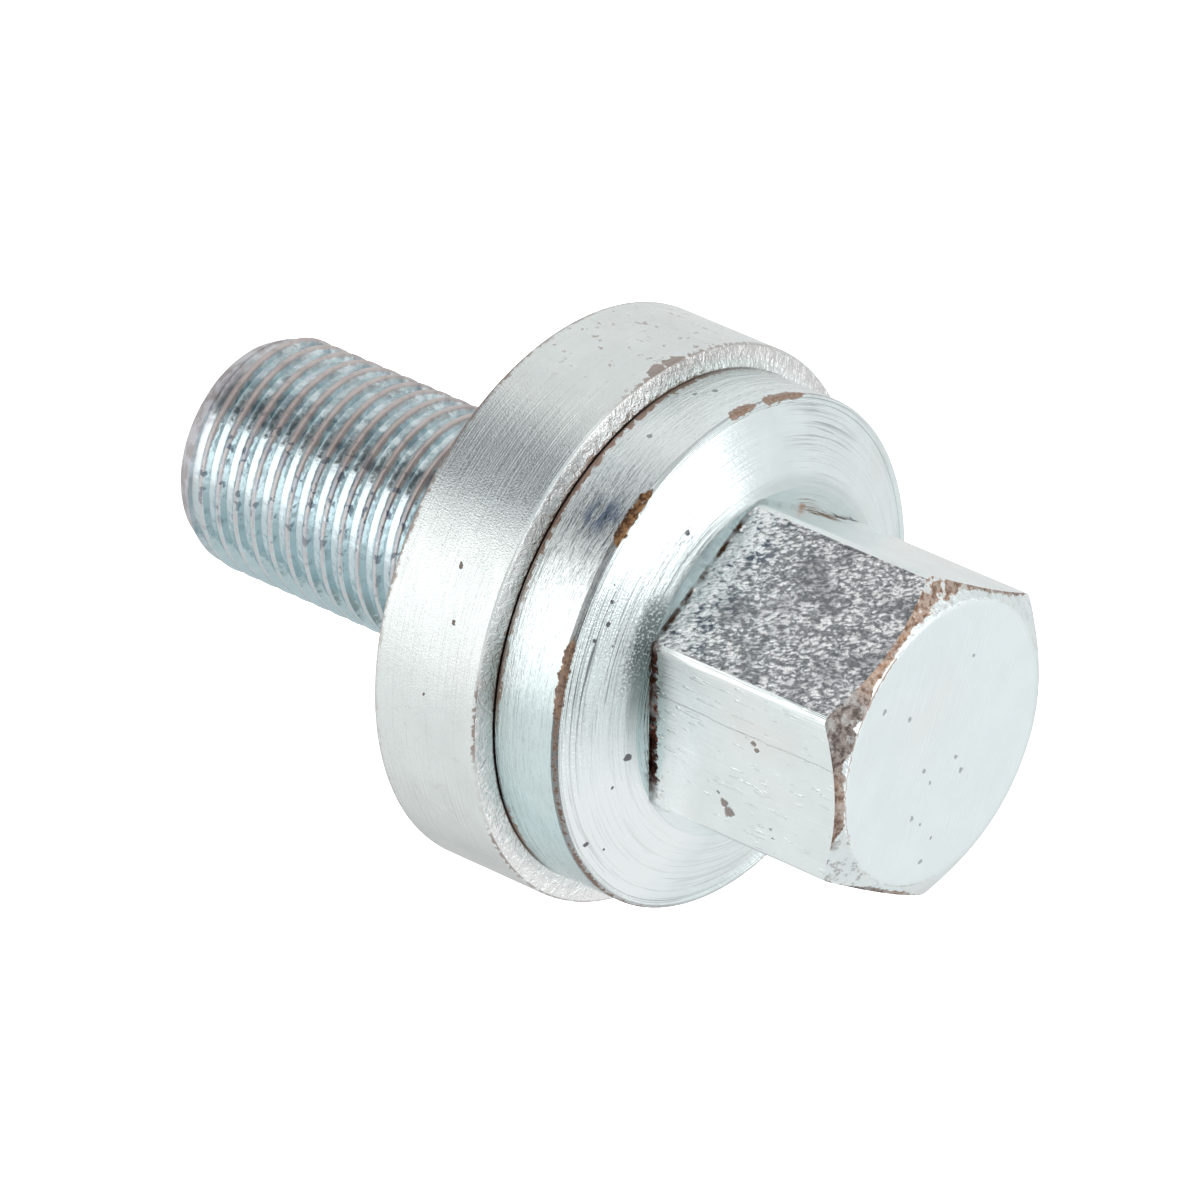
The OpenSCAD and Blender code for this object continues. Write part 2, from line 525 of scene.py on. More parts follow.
def forge_scales(bolt):
    """Lifts and sinks the inner vertices of the scaled flat, so that its relief is in the mesh."""
    inner = {v.index for v in bolt.data.vertices}
    for face in bolt.data.polygons:
        if face.material_index != SCALED:
            inner.difference_update(face.vertices)
    bolt.vertex_groups.new(name="scaled_flat").add(list(inner), 1.0, "REPLACE")
    for size, depth in ((0.9, 0.12), (0.45, 0.05)):
        clouds = bpy.data.textures.new("scales", "CLOUDS")
        clouds.noise_scale = size * MM
        clouds.noise_depth = 1
        lift = bolt.modifiers.new("scales", "DISPLACE")
        lift.texture = clouds
        lift.texture_coords = "LOCAL"
        lift.vertex_group = "scaled_flat"
        lift.strength = depth * MM
        lift.mid_level = 0.5
        bpy.ops.object.modifier_apply(modifier=lift.name)
    bolt.vertex_groups.clear()


# Materials

class Nodes:
    """Short names for adding nodes to one tree."""

    def __init__(self, tree):
        self.tree = tree

    def set(self, socket, value):
        if isinstance(value, bpy.types.NodeSocket):
            self.tree.links.new(value, socket)
        elif socket.type == "RGBA" and len(value) == 3:
            socket.default_value = (*value, 1.0)
        else:
            socket.default_value = value

    def node(self, kind, *inputs, **named):
        made = self.tree.nodes.new(kind)
        for socket, value in zip(made.inputs, inputs):
            self.set(socket, value)
        for key, value in named.items():
            self.set(made.inputs[key], value)
        return made

    def math(self, operation, a, b=0.0):
        made = self.node("ShaderNodeMath", a, b)
        made.operation = operation
        return made.outputs[0]

    def add(self, a, b):
        return self.math("ADD", a, b)

    def minus(self, a, b):
        return self.math("SUBTRACT", a, b)

    def times(self, a, b):
        return self.math("MULTIPLY", a, b)

    def most(self, *values):
        """The largest of several masks."""
        largest = values[0]
        for value in values[1:]:
            largest = self.math("MAXIMUM", largest, value)
        return largest

    def vector(self, operation, *inputs):
        made = self.node("ShaderNodeVectorMath", *inputs)
        made.operation = operation
        return made.outputs["Value" if operation in ("DOT_PRODUCT", "DISTANCE") else "Vector"]

    def span(self, value, low, high, to_low=0.0, to_high=1.0):
        made = self.node("ShaderNodeMapRange", value, low, high, to_low, to_high)
        made.interpolation_type = "SMOOTHSTEP"
        return made.outputs[0]


class Graph(Nodes):
    """The nodes of one material, bare metal at first. Lengths in its patterns are millimetres."""

    def __init__(self, name):
        self.material = bpy.data.materials.new(name)
        self.material.use_nodes = True
        super().__init__(self.material.node_tree)
        self.shader = self.tree.nodes["Principled BSDF"]
        self.shader.inputs["Metallic"].default_value = 1.0
        self.parts = None
        colours = bpy.context.scene.pulley_bolt_colours
        self.zinc, self.brown, self.rust = colours.zinc, colours.brown, colours.rust

    def place(self, scale=(1, 1, 1), turned=(0, 0, 0)):
        """Object coordinates in millimetres, turned by degrees and then scaled along the axes."""
        where = self.node("ShaderNodeTexCoord").outputs["Object"]
        first = self.node("ShaderNodeMapping", Vector=where)
        first.inputs["Scale"].default_value = (1000, 1000, 1000)
        first.inputs["Rotation"].default_value = [math.radians(a) for a in turned]
        second = self.node("ShaderNodeMapping", Vector=first.outputs[0])
        second.inputs["Scale"].default_value = scale
        return second.outputs[0]

    def polar(self):
        """Distance from the axis, height and azimuth in degrees."""
        if self.parts is None:
            x, y, z = self.node("ShaderNodeSeparateXYZ", self.place()).outputs
            across = self.math("SQRT", self.add(self.times(x, x), self.times(y, y)))
            angle = self.times(self.math("ARCTAN2", y, x), 180 / math.pi)
            self.parts = (across, z, angle)
        return self.parts

    def along(self, *directions):
        """A place measured along three given directions, whose lengths scale it."""
        parts = [self.vector("DOT_PRODUCT", self.place(), toward) for toward in directions]
        return self.node("ShaderNodeCombineXYZ", *parts).outputs[0]

    def noise(self, vector, scale, detail=2.0, roughness=0.5, distortion=0.0):
        made = self.node("ShaderNodeTexNoise", Vector=vector, Scale=scale, Detail=detail)
        made.inputs["Roughness"].default_value = roughness
        made.inputs["Distortion"].default_value = distortion
        return made.outputs["Fac"]

    def grain(self, scale, detail=2.0, roughness=0.5):
        """Noise that is alike in all directions."""
        return self.noise(self.place(), scale, detail, roughness)

    def lathed(self, radial, upward, around, detail=2.0, roughness=0.5, distortion=0.0):
        """Noise with a scale for the radius, the height and the way round the axis, without a seam."""
        across, z, _ = self.polar()
        outward = self.vector("NORMALIZE", self.place((1, 1, 0)))
        x, y, _ = self.node("ShaderNodeSeparateXYZ", outward).outputs
        depth = self.add(self.times(across, radial), self.times(z, upward))
        made = self.node("ShaderNodeCombineXYZ", depth, self.times(x, around), self.times(y, around))
        return self.noise(made.outputs[0], 1.0, detail, roughness, distortion)

    def cells(self, vector, scale, softness):
        made = self.node("ShaderNodeTexVoronoi", Vector=vector, Scale=scale)
        made.feature = "SMOOTH_F1"
        made.inputs["Smoothness"].default_value = softness
        return made.outputs["Distance"]

    def band(self, value, low, high, soft):
        """1 between two values and 0 outside them, with soft ends."""
        return self.times(self.span(value, low - soft, low), self.span(value, high + soft, high))

    def torn(self, value, ragged, reach, low, high):
        """1 past the high value and 0 before the low one, with the edge moved by a noise times a reach."""
        return self.span(self.add(value, self.times(ragged, reach)), low, high)

    def round_axis(self, *stops):
        """A value that changes with the azimuth: (degrees, value) pairs in rising order."""
        share = self.math("DIVIDE", self.add(self.polar()[2], 180.0), 360.0)
        made = self.node("ShaderNodeValToRGB", share)
        ramp = made.color_ramp
        for index, (degrees, value) in enumerate(stops):
            spot = ramp.elements[index] if index < 2 else ramp.elements.new(1.0)
            spot.position = (degrees + 180) / 360
            spot.color = (value, value, value, 1)
        return made.outputs["Color"]

    def where(self, mask, *stops):
        """A mask times a value that changes with the azimuth."""
        return self.times(mask, self.round_axis(*stops))

    def mix(self, factor, a, b):
        made = self.tree.nodes.new("ShaderNodeMix")
        made.data_type = "RGBA"
        for key, value in ((0, factor), (6, a), (7, b)):
            self.set(made.inputs[key], value)
        return made.outputs[2]

    def off_axis(self):
        """Distance from the axis to the hexagon through a place, measured square to its nearest flat."""
        nearest = 0.0
        for azimuth in (30, 90, 150):
            apart = self.vector("DOT_PRODUCT", self.place(), direction(azimuth, 0))
            nearest = self.most(nearest, self.math("ABSOLUTE", apart))
        return nearest

    def wobble(self, scale, reach):
        """The place, moved a little to and fro from spot to spot."""
        made = self.node("ShaderNodeTexNoise", Vector=self.place(), Scale=scale, Detail=2.0)
        centred = self.vector("SUBTRACT", made.outputs["Color"], (0.5, 0.5, 0.5))
        return self.vector("MULTIPLY", centred, (reach, reach, reach))

    def cloud(self, spot, reach):
        """1 at a spot, fading out softly within the reach."""
        ragged = self.vector("ADD", self.place(), self.wobble(0.9, reach))
        return self.span(self.vector("DISTANCE", ragged, spot), reach, reach * 0.15)

    def pits(self, spots):
        """1 inside small ragged pits at (x, y, z, radius)."""
        ragged = self.vector("ADD", self.place(), self.wobble(3.0, 0.35))
        pitted = 0.0
        for *spot, radius in spots:
            apart = self.vector("DISTANCE", ragged, spot)
            pitted = self.most(pitted, self.span(apart, radius * 1.15, radius * 0.8))
        return pitted

    def finish(self, colour, roughness, *relief):
        """The material. The relief is (height, depth) pairs, and a depth below 0 sinks."""
        self.set(self.shader.inputs["Base Color"], colour)
        self.set(self.shader.inputs["Roughness"], roughness)
        normal = None
        for height, depth in relief:
            if depth < 0:
                height = self.times(height, -1.0)
            bump = self.node("ShaderNodeBump", Height=height, Distance=abs(depth) * MM)
            if normal is not None:
                self.set(bump.inputs["Normal"], normal)
            normal = bump.outputs[0]
        if normal is not None:
            self.set(self.shader.inputs["Normal"], normal)
        return self.material


def shaded(colour, share):
    return tuple(channel * share for channel in colour)


def tinted(colour, other):
    return tuple(a * b for a, b in zip(colour, other))


def mottled(g, colour, scale=0.5, depth=0.07):
    """The plating's slight change of tone from place to place, with a warm stain here and there."""
    cloud = g.span(g.grain(scale, 4, 0.6), 0.35, 0.68)
    stain = g.times(g.span(g.noise(g.place(turned=(0, 0, 40)), scale * 0.5, 3), 0.52, 0.75), 0.5)
    base = g.mix(cloud, shaded(colour, 1 - depth), colour)
    return g.mix(stain, base, tinted(colour, (1.0, 0.93, 0.9)))


def shank_zinc(g):
    """Thread: polished teal grooves between dull crests, which are broad where the light is low. The
    grooves' pale to teal tone is painted shade, their navy is painted dark reflection, and the crests' dark
    is partly painted shade, all round the axis.
    """
    across, z, _ = g.polar()
    wave = g.grain(1.0, 3)
    soft = g.grain(0.55)
    pale = mottled(g, tinted(g.zinc, (0.93, 0.97, 1.0)), 0.4, 0.08)
    teal = tinted(g.zinc, (0.56, 0.66, 0.69))
    patch = g.span(g.grain(1.3, 3), 0.42, 0.6, 0.0, 1.8)
    upper = g.round_axis((-110, 1.0), (-20, 1.0), (-8, 0.0), (90, 0.0))
    spread = g.add(g.times(patch, upper), g.times(g.add(0.5, soft), g.minus(1.0, upper)))
    # Painted shade in the grooves, pale to teal, changing round the axis
    groove = g.mix(g.where(spread, *GROOVE_SHADE), pale, teal)
    # Painted navy dark reflections in the grooves round the axis
    navy = g.round_axis(*GROOVE_NAVY)
    groove = g.mix(g.times(g.span(wave, 0.42, 0.56), navy), groove, (0.10, 0.155, 0.20))
    start = g.add(7.52, g.times(g.round_axis(*CREST_START), 0.5))
    crest = g.torn(g.minus(across, start), g.grain(2.3, 3, 0.6), 0.45, 0.16, 0.3)
    crest = g.where(crest, (-180, 1.0), (54, 1.0), (72, 0.3), (100, 0.3))
    dull = g.mix(soft, tinted(g.brown, (1.15, 1.1, 1.1)), tinted(g.brown, (1.75, 2.0, 2.2)))
    dark = g.mix(g.span(wave, 0.4, 0.6), shaded(g.brown, 0.95), (0.22, 0.235, 0.31))
    # Navy-grey crests, painted shade where the light is bright
    dull = g.mix(g.round_axis(*CREST_DARK), dull, dark)
    # Crests from pale zinc to dull brown round the axis: partly worn plating, partly painted shade
    top = g.mix(g.round_axis(*CREST_DULL), tinted(g.zinc, (0.84, 0.76, 0.78)), dull)
    colour = g.mix(g.times(crest, 0.85), groove, top)
    chips = g.times(g.span(g.grain(1.3), 0.58, 0.63), g.span(across, 7.5, 7.75))
    chips = g.where(chips, (-30, 0.2), (-14, 1.0), (14, 1.0), (40, 0.3), (60, 0.0))
    colour = g.mix(g.times(chips, 0.75), colour, (0.09, 0.12, 0.17))
    end = g.torn(z, soft, 0.8, 2.6, 1.5)
    worn = g.mix(g.span(wave, 0.4, 0.6), (0.66, 0.64, 0.68), (0.46, 0.4, 0.4))
    colour = g.mix(g.times(end, 0.85), colour, worn)
    rough = g.add(g.add(g.times(crest, 0.24), g.times(end, 0.22)), g.add(g.times(navy, 0.2), 0.17))
    return g.finish(colour, rough, (g.grain(1.2), 0.06))


def collar_zinc(g):
    """Collar: satin, with fine turning lines, small pits, worn edges and a bluish band of painted dark
    reflection.
    """
    _, z, _ = g.polar()
    zinc = tinted(g.zinc, (1.0, 0.97, 0.95))
    ragged = g.grain(2.2, 4, 0.6)
    # A bluish band of painted dark reflection round part of the collar
    dark_reflection = g.round_axis((-38, 0.0), (-28, 0.3), (-18, 0.35), (-13, 0.1), (-8, 0.0))
    colour = g.mix(dark_reflection, mottled(g, zinc, 0.28, 0.06), tinted(zinc, (0.5, 0.53, 0.62)))
    back = g.torn(z, ragged, -0.9, SEAT_Z - 0.05, SEAT_Z - 0.3)
    back = g.where(back, (-180, 0.7), (-70, 0.6), (-40, 1.0), (5, 1.0), (25, 0.3), (120, 0.5))
    front = g.where(
        g.torn(z, ragged, 1.1, COLLAR_Z + 0.37, COLLAR_Z + 0.47),
        (-110, 0.1), (-75, 0.8), (-52, 0.9), (-40, 0.0), (15, 0.0), (20, 1.0), (32, 1.0), (38, 0.1),
        (50, 0.3), (56, 1.0), (80, 0.7),
    )
    flecks = g.span(g.grain(1.3, 5, 0.65), 0.62, 0.66)
    flecks = g.where(flecks, (-100, 0.1), (-72, 0.9), (-55, 0.9), (-45, 0.15), (100, 0.1))
    patch = g.most(g.cloud((10.3, -15.9, 35.5), 1.2), g.cloud((8.9, -16.7, 35.6), 1.2))
    patch = g.span(g.add(patch, ragged), 0.86, 0.96)
    pits = g.pits(COLLAR_PITS)
    worn = g.mix(ragged, shaded(g.brown, 0.45), shaded(g.brown, 1.1))
    colour = g.mix(g.times(g.most(back, front, patch, g.times(flecks, 0.8)), 0.85), colour, worn)
    colour = g.mix(pits, colour, shaded(g.brown, 0.5))
    rough = g.add(g.times(g.most(back, front), 0.2), 0.25)
    lines = g.lathed(0.0, 7.0, 2.0, 2, 0.6)
    fine = g.grain(8.0, 2, 0.7)
    return g.finish(colour, rough, (lines, 0.05), (fine, 0.032), (g.grain(0.8), 0.02), (pits, -0.1))


def shoulder_zinc(g):
    """Shoulder: streaky and lightly hammered, with painted light and shade round the axis, greyer towards
    the dark corner under the flange.
    """
    across, _, _ = g.polar()
    # Painted light and shade: darker and lighter copies of the zinc on each half, by azimuth
    halves = (
        (SHOULDER_OUTER, (0.52, 0.47, 0.46), (1.17, 1.08, 1.07)),
        (SHOULDER_INNER, (0.5, 0.52, 0.5), (1.18, 1.1, 1.1)),
    )
    tones = [
        g.mix(g.round_axis(*stops), tinted(g.zinc, low), tinted(g.zinc, high))
        for stops, low, high in halves
    ]
    colour = g.mix(g.span(across, FLANGE_RADIUS + 1.05, FLANGE_RADIUS + 0.35), *tones)
    seam = g.round_axis(*SEAM_SHADE)
    rust = g.torn(across, g.grain(2.5, 3), 0.5, FLANGE_RADIUS + 0.43, FLANGE_RADIUS + 0.25)
    colour = g.mix(g.times(rust, g.times(seam, 0.7)), colour, shaded(g.rust, 0.5))
    dark = g.times(g.span(across, FLANGE_RADIUS + 0.13, FLANGE_RADIUS + 0.03), g.times(seam, 0.9))
    colour = g.mix(dark, colour, (0.015, 0.011, 0.01))
    streaks = g.lathed(1.2, 0.0, 24.0, 3, 0.65, 1.2)
    hammer = g.lathed(3.0, 0.0, 60.0, 2, 0.6, 0.6)
    return g.finish(colour, g.add(g.times(dark, 0.4), 0.22), (streaks, 0.16), (hammer, 0.05))


def rim_wear(g, inward):
    """Rust in grains on the flange's rim, its colour, and a thin grey line, from the distance to the rim."""
    grain = g.grain(2.6, 4, 0.65)
    fine = g.grain(6.0, 3, 0.6)
    reach = g.times(g.round_axis(*RIM_RUST), -0.8)
    rust = g.torn(g.add(inward, reach), grain, 0.9, 0.15, 0.05)
    rust = g.times(rust, g.span(fine, 0.3, 0.46, 0.6, 1.0))
    dark = shaded(g.rust, 0.3)
    colour = g.mix(g.span(grain, 0.4, 0.62), dark, tinted(g.rust, (1.0, 1.2, 1.15)))
    pinkish = g.where(g.span(fine, 0.35, 0.6), (-70, 0.3), (-34, 0.0), (-16, 0.0), (6, 0.6), (20, 1.0))
    colour = g.mix(pinkish, colour, shaded(g.brown, 0.75))
    rubbed = g.where(g.span(grain, 0.6, 0.42, 0.25, 1.0), (-58, 1.0), (-50, 0.0))
    colour = g.mix(rubbed, colour, tinted(g.brown, (1.04, 0.98, 0.92)))
    thin = g.round_axis((-48, 0.2), (-26, 0.0))
    line = g.where(g.torn(g.add(inward, thin), grain, 0.16, 0.42, 0.33), *RIM_LINE)
    return rust, colour, g.times(line, g.add(g.times(grain, 0.7), 0.5))


def flange_wall_zinc(g):
    """Flange's wall: turned, with painted light and shade from bright to bluish round the axis, painted dark
    reflections, and rusty along its foot.
    """
    _, z, _ = g.polar()
    # Painted light and shade round the axis: a pale and a darker bluish copy of the zinc
    pale = mottled(g, tinted(g.zinc, (1.08, 1.04, 1.03)), 0.35, 0.05)
    bluish = mottled(g, tinted(g.zinc, (0.78, 0.89, 0.9)), 0.35, 0.07)
    colour = g.mix(g.round_axis(*WALL_TONE), pale, bluish)
    # A grey band of painted dark reflection round part of the wall
    low = g.round_axis((-44, 0.0), (-34, 0.7), (-22, 0.8), (-14, 0.25), (-8, 0.0))
    colour = g.mix(g.times(low, 0.55), colour, (0.42, 0.47, 0.49))
    # A blue patch of painted dark reflection along the turning lines
    dark_reflection = g.times(g.cloud((15.9, -6.9, 38.9), 1.9), g.span(g.lathed(0.0, 3.0, 9.0), 0.36, 0.5))
    colour = g.mix(g.times(dark_reflection, 0.85), colour, (0.13, 0.2, 0.33))
    ragged = g.grain(1.9, 4, 0.62)
    foot = g.where(
        g.torn(z, ragged, -1.5, FLANGE_Z - 0.32, FLANGE_Z - 0.44),
        (-110, 0.1), (-80, 0.5), (-66, 1.0), (-12, 1.0), (0, 0.6), (22, 1.0), (30, 0.0), (48, 0.0),
        (52, 1.0), (64, 1.0), (75, 0.1),
    )
    dark = g.where(g.span(z, FLANGE_Z + 0.09, FLANGE_Z + 0.04), *SEAM_SHADE)
    rim, rusty, line = rim_wear(g, g.minus(RIM_Z + 0.1, z))
    lines = g.lathed(0.0, 7.0, 14.0, 3, 0.62)
    # Painted dark reflections along the turning lines, by azimuth
    hatch = g.where(g.span(lines, 0.47, 0.4), *WALL_HATCH)
    colour = g.mix(g.times(hatch, 0.6), colour, (0.16, 0.18, 0.2))
    colour = g.mix(g.times(line, 0.9), colour, LINE_GREY)
    colour = g.mix(g.times(foot, 0.92), colour, g.mix(ragged, g.rust, g.brown))
    colour = g.mix(rim, colour, rusty)
    colour = g.mix(g.times(g.pits(WALL_PITS), 0.7), colour, (0.16, 0.18, 0.17))
    colour = g.mix(dark, colour, (0.03, 0.022, 0.02))
    drawn = g.where(lines, (-60, 0.6), (-24, 1.0), (-10, 0.7), (0, 0.3), (30, 0.25), (60, 0.6))
    fine = g.lathed(0.0, 12.0, 30.0, 2, 0.6)
    scratch = g.lathed(0.0, 2.6, 2.0)
    rough = g.add(g.times(g.most(foot, rim), 0.3), 0.12)
    return g.finish(colour, rough, (drawn, 0.075), (fine, 0.03), (scratch, 0.06))


def coned_zinc(g):
    """Coned face and ledge: concentric grooves, a worn rim and a dark line of rust and painted shade where
    the hexagon stands, with painted light, painted shade and painted dark reflections round the axis.
    """
    across, z, _ = g.polar()
    colour = mottled(g, g.zinc, 0.35, 0.05)
    ragged = g.grain(1.9, 4, 0.62)
    grain = g.noise(g.place((1, 1, 0)), 4.0, 3, 0.6)
    sparkle = g.noise(g.place((1, 1, 0)), 5.5, 2, 0.6)
    grooves = g.lathed(5.5, 0.0, 1.3, 2, 0.7)
    narrow = g.lathed(3.6, 0.0, 1.2, 3, 0.65)
    turned = g.round_axis(*CONE_TURNED)
    # Painted light: a lighter copy of the zinc round the lower side
    lower = g.round_axis((22, 0.0), (44, 1.0), (84, 1.0), (100, 0.0))
    colour = g.mix(lower, colour, tinted(g.zinc, (1.12, 1.08, 1.08)))
    # Painted dark reflections along the turned grooves, strongest where CONE_TURNED is high
    drawn = g.most(g.times(g.span(grooves, 0.45, 0.37), 0.45), g.span(narrow, 0.43, 0.38))
    drawn = g.times(g.times(drawn, turned), g.span(across, 12.6, 15.6, 0.4, 0.85))
    colour = g.mix(drawn, colour, (0.09, 0.095, 0.1))
    # Grainy painted shade on the coned face beside the hexagon's corner
    near = g.torn(g.add(across, g.times(ragged, 1.4)), grain, 1.0, 15.0, 13.9)
    near = g.where(near, (-17, 0.0), (-9, 0.9), (4, 1.0), (11, 0.75), (19, 0.0))
    dark = g.times(near, g.span(sparkle, 0.66, 0.5))
    colour = g.mix(g.times(dark, 0.92), colour, (0.11, 0.15, 0.155))
    # Painted shade on the ledge: a darker teal copy of the zinc, by azimuth
    ledge = g.where(
        g.span(across, LEDGE_RADIUS + 0.05, LEDGE_RADIUS),
        (-180, 0.3), (-84, 0.25), (-58, 0.8), (52, 0.8), (68, 0.2), (150, 0.3),
    )
    colour = g.mix(ledge, colour, tinted(g.zinc, (0.68, 0.79, 0.81)))
    # Painted shade on the coned face just outside the ledge, by azimuth
    inner = g.where(
        g.span(across, LEDGE_RADIUS + 1.18, LEDGE_RADIUS + 0.38),
        (-4, 0.2), (8, 0.72), (18, 0.72), (25, 0.43), (31, 0.29), (40, 0.1), (50, 0.0),
    )
    colour = g.mix(inner, colour, (0.12, 0.17, 0.165))
    off = g.off_axis()
    stain = g.times(g.cloud((0.9, -10.5, LEDGE_Z), 0.6), g.span(off, HALF_FLATS + 0.35, HALF_FLATS + 0.1))
    colour = g.mix(g.times(stain, 0.8), colour, tinted(g.rust, STAIN_TINT))
    rim, rusty, line = rim_wear(g, g.minus(FLANGE_RADIUS + 0.03, across))
    colour = g.mix(g.times(line, 0.9), colour, LINE_GREY)
    colour = g.mix(rim, colour, rusty)
    pits = g.pits(CONE_PITS)
    colour = g.mix(g.times(pits, 0.85), colour, (0.06, 0.05, 0.07))
    # Dark rust along the hexagon's foot, which is also painted shade in that corner
    foot = g.torn(off, ragged, -0.05, HALF_FLATS + 0.1, HALF_FLATS + 0.04)
    foot = g.times(foot, g.span(z, LEDGE_Z - 0.05, LEDGE_Z - 0.01))
    foot = g.times(foot, g.span(g.grain(0.9), 0.42, 0.56, 0.35, 1.0))
    foot = g.where(
        foot,
        (-100, 0.0), (-62, 0.3), (-50, 0.6), (-8, 0.8), (2, 1.0), (50, 1.0), (60, 0.2), (110, 0.3),
    )
    colour = g.mix(foot, colour, shaded(g.rust, 0.18))
    return g.finish(
        colour,
        g.add(g.times(rim, 0.3), 0.17),
        (g.times(grooves, g.add(g.times(turned, 0.85), 0.3)), 0.11),
        (g.where(grain, (-96, 0.3), (-84, 0.1), (-46, 0.1), (-30, 0.3)), 0.1),
        (g.times(sparkle, g.add(near, g.times(turned, 0.35))), 0.12),
        (g.band(across, 16.82, 16.86, 0.06), -0.05),
        (pits, -0.1),
    )


def smooth_flat_zinc(g):
    """Smooth flats and corners: a few drawn scratches, pits, rust with painted shade along the foot, and
    painted light towards it.
    """
    _, z, angle = g.polar()
    colour = mottled(g, tinted(g.zinc, (1.06, 1.04, 1.03)), 0.3, 0.05)
    # Painted light: a lighter copy of the zinc towards the foot
    colour = g.mix(g.span(z, 47.0, 44.0), colour, tinted(g.zinc, (1.18, 1.1, 1.09)))
    foot = g.torn(z, g.grain(2.4, 4, 0.62), -1.4, LEDGE_Z - 0.19, LEDGE_Z - 0.33)
    foot = g.times(foot, g.span(g.grain(1.5), 0.36, 0.5, 0.5, 1.0))
    foot = g.where(
        foot,
        (-118, 0.8), (-98, 0.8), (-92, 0.0), (-62, 0.0), (-5, 0.2), (3, 1.0), (50, 1.0), (58, 0.25),
        (80, 0.2), (120, 0.5),
    )
    specks = g.times(g.span(g.grain(2.6, 3), 0.55, 0.62), g.span(z, 44.2, 43.4))
    specks = g.times(specks, g.band(angle, 3, 55, 4))
    pits = g.pits(FLAT_PITS)
    drawn = g.noise(g.place((3.2, 3.2, 0.07)), 1.0, 3, 0.62)
    dashes = g.span(g.noise(g.place((2.6, 2.6, 0.55)), 1.0), 0.63, 0.67)
    bent = g.times(g.noise(g.place((0.5, 0.5, 0.5)), 1.0, 3), 2.4)
    scratch = g.band(g.add(angle, bent), 17.9, 18.05, 0.2)
    # Rust along the foot, near black as painted shade in the corner, with red patches
    deep = g.mix(g.span(g.grain(3.0), 0.4, 0.62), (0.022, 0.016, 0.014), (0.13, 0.05, 0.035))
    red = g.where(g.span(g.grain(2.2), 0.46, 0.6), (15, 0.1), (20, 0.9), (32, 0.9), (38, 0.1))
    deep = g.mix(red, deep, (0.34, 0.1, 0.055))
    colour = g.mix(g.times(scratch, 0.1), colour, shaded(g.brown, 0.6))
    colour = g.mix(g.times(specks, 0.5), colour, (0.33, 0.32, 0.34))
    colour = g.mix(g.times(pits, 0.85), colour, shaded(g.brown, 0.62))
    colour = g.mix(foot, colour, deep)
    stain = g.times(g.most(g.cloud((-0.3, -10.4, 43.1), 0.8), g.cloud((-1.4, -10.4, 43.6), 1.3)), 0.9)
    colour = g.mix(stain, colour, tinted(g.rust, STAIN_TINT))
    grazed = g.most(stain, g.where(foot, (-92, 0.9), (-60, 0.0)))
    g.set(g.shader.inputs["Specular Tint"], g.mix(grazed, (1.0, 1.0, 1.0), (0.34, 0.2, 0.13)))
    sunk = g.most(pits, g.times(scratch, 0.6))
    rough = g.add(g.times(foot, 0.35), 0.25)
    return g.finish(colour, rough, (drawn, 0.045), (dashes, 0.03), (sunk, -0.06))


def scaled_flat_zinc(g):
    """The flat left as forged: drawn-out scales with painted highlights on their pale backs and painted
    shade dark between them, painted light towards the foot, and painted navy dark reflections near the foot.
    """
    _, z, _ = g.polar()
    place = g.along((1.19, 2.07, 1.03), (-0.3, -0.52, 1.38), (0.4, -0.2, 0))
    bent = g.vector("ADD", place, g.wobble(0.8, 0.8))
    scales = g.cells(bent, 1.5, 0.3)
    small = g.noise(bent, 1.4, 5, 0.82)
    pale = tinted(g.zinc, (1.2, 1.1, 1.1))
    # Painted light: more pale backs towards the foot
    lifted = g.span(z, 46.4, 43.6, 0.0, 0.12)
    broad = g.span(g.noise(place, 0.2), 0.36, 0.64, -0.02, 0.025)
    high = g.add(g.add(g.add(small, g.times(scales, -0.3)), lifted), broad)
    # Painted highlights on the scales' pale backs and painted shade dark between them
    backs = g.span(high, 0.29, 0.45)
    fine = g.span(g.noise(place, 3.4, 3, 0.7), 0.4, 0.6)
    colour = g.mix(backs, g.mix(fine, (0.17, 0.18, 0.2), (0.42, 0.44, 0.45)), pale)
    # Painted navy dark reflections in streaks near the foot
    streaks = g.times(g.span(g.noise(place, 0.45, 3, 0.6), 0.46, 0.56), g.span(z, 47.4, 44.8))
    colour = g.mix(streaks, colour, g.mix(g.times(backs, 0.9), (0.03, 0.06, 0.11), pale))
    shade = g.times(g.span(g.grain(0.35, 3, 0.6), 0.56, 0.36), g.span(z, 44.0, 46.5))
    colour = g.mix(g.times(shade, 0.5), colour, (0.13, 0.135, 0.15))
    patchy = g.span(g.grain(0.9), 0.45, 0.6, 0.4, 1.0)
    foot = g.torn(z, g.grain(2.4, 4, 0.62), -0.8, LEDGE_Z - 0.23, LEDGE_Z - 0.33)
    colour = g.mix(g.times(foot, patchy), colour, shaded(g.rust, 0.5))
    calm = g.span(z, LEDGE_Z, LEDGE_Z + 0.55, 0.4, 1.0)
    return g.finish(colour, 0.11, (g.times(scales, calm), -0.05), (g.times(small, calm), 0.075))


